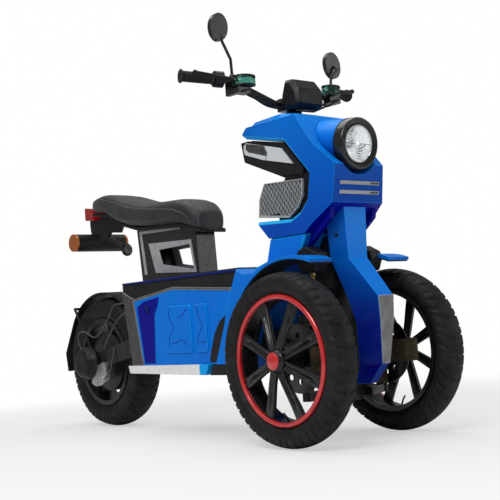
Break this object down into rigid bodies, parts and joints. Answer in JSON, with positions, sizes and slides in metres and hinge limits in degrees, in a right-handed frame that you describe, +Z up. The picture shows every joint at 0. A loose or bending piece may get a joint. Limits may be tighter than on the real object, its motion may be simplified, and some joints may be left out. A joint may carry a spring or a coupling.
{
  "type": "electric three-wheel scooter",
  "caption": "Electric scooter with two steered front wheels, a hub-motor rear wheel, blue fairings, step-through deck and a two-level seat.",
  "frame": {"origin": "on the floor, in the middle of the scooter's length and width", "axes": "+Z up, forward is -Y, the rider's left is +X"},
  "size_m": [0.7184, 1.7999, 1.3056],
  "materials": {
    "blue_shell": "glossy",
    "deck_blue": "glossy",
    "black_frame": "satin",
    "black_plastic": "satin",
    "floor_rubber": "matt",
    "grip_rubber": "matt",
    "grille_mesh": "satin",
    "bright_trim": "polished",
    "silver_trim": "satin",
    "red_wheel": "glossy",
    "motor_grey": "satin",
    "disc_steel": "brushed",
    "cast_bronze": "satin",
    "damper_gold": "satin",
    "tyre_rubber": "matt",
    "seat_leather": "satin",
    "clear_lens": "clear",
    "amber_lens": "glossy",
    "red_lens": "glossy",
    "green_cup": "glossy",
    "mirror_face": "polished"
  },
  "bodies": {
    "chassis": {"arch_liners": "black_plastic", "axle_cover": "black_plastic", "battery_pack": "black_frame", "body_tray": "black_frame", "chrome_strips": "bright_trim", "corner_trims": "silver_trim", "dampers": "damper_gold", "deck_cover": "deck_blue", "deck_edges": "black_plastic", "floor_mat": "floor_rubber", "front_frame": "black_frame", "grilles": "grille_mesh", "head_fairing": "blue_shell", "headlight_bezel": "black_plastic", "headlight_bucket": "blue_shell", "headlight_glass": "clear_lens", "headlight_reflector": "bright_trim", "lamp_housing": "black_plastic", "leg_shield": "blue_shell", "lower_cowl": "blue_shell", "neck_struts": "black_frame", "nose_plate": "silver_trim", "post_trims": "silver_trim", "rear_fender": "black_plastic", "seat_base": "black_plastic", "seat_cushion": "seat_leather", "seat_post": "black_frame", "side_lamps": "clear_lens", "side_panels": "blue_shell", "signal_lenses": "amber_lens", "steering_head": "black_frame", "step_bars": "silver_trim", "suspension_arms": "black_frame", "swingarm": "motor_grey", "tail_bracket": "black_frame", "tail_light": "red_lens", "wheel_arches": "blue_shell"},
    "handlebar": {"handlebar": "black_frame", "grips": "grip_rubber", "bar_controls": "black_plastic", "fluid_cups": "green_cup", "master_cylinders": "cast_bronze", "mirrors": "black_plastic", "mirror_glass": "mirror_face", "instrument_pod": "black_plastic", "brake_hoses": "grip_rubber"},
    "knuckle_left": {"knuckle_left": "cast_bronze"},
    "knuckle_right": {"knuckle_right": "cast_bronze"},
    "wheel_front_left": {"tyre_front_left": "tyre_rubber", "rim_front_left": "red_wheel", "brake_disc_left": "disc_steel", "hub_cap_left": "red_wheel"},
    "wheel_front_right": {"tyre_front_right": "tyre_rubber", "rim_front_right": "red_wheel", "brake_disc_right": "disc_steel", "hub_cap_right": "red_wheel"},
    "wheel_rear": {"tyre_rear": "tyre_rubber", "rim_rear": "motor_grey"}
  },
  "joints": [
    {"name": "steering", "type": "hinge", "parent": "chassis", "child": "handlebar", "pos_m": [0, -0.506, 0.985], "axis": [0, 0.342, 0.9397], "range_deg": [-27.5, 27.5]},
    {"name": "kingpin_left", "type": "hinge", "parent": "chassis", "child": "knuckle_left", "pos_m": [0.155, -0.65, 0.25], "axis": [0, 0, 1], "range_deg": [-22, 22]},
    {"name": "kingpin_right", "type": "hinge", "parent": "chassis", "child": "knuckle_right", "pos_m": [-0.155, -0.65, 0.25], "axis": [0, 0, 1], "range_deg": [-22, 22]},
    {"name": "wheel_spin_left", "type": "hinge", "parent": "knuckle_left", "child": "wheel_front_left", "pos_m": [0.2225, -0.65, 0.25], "axis": [1, 0, 0], "continuous": true},
    {"name": "wheel_spin_right", "type": "hinge", "parent": "knuckle_right", "child": "wheel_front_right", "pos_m": [-0.2225, -0.65, 0.25], "axis": [1, 0, 0], "continuous": true},
    {"name": "wheel_spin_rear", "type": "hinge", "parent": "chassis", "child": "wheel_rear", "pos_m": [0, 0.612, 0.2485], "axis": [1, 0, 0], "continuous": true}
  ],
  "couplings": [
    {"joint": "kingpin_left", "follows": "steering", "ratio": 0.8},
    {"joint": "kingpin_right", "follows": "steering", "ratio": 0.8}
  ]
}
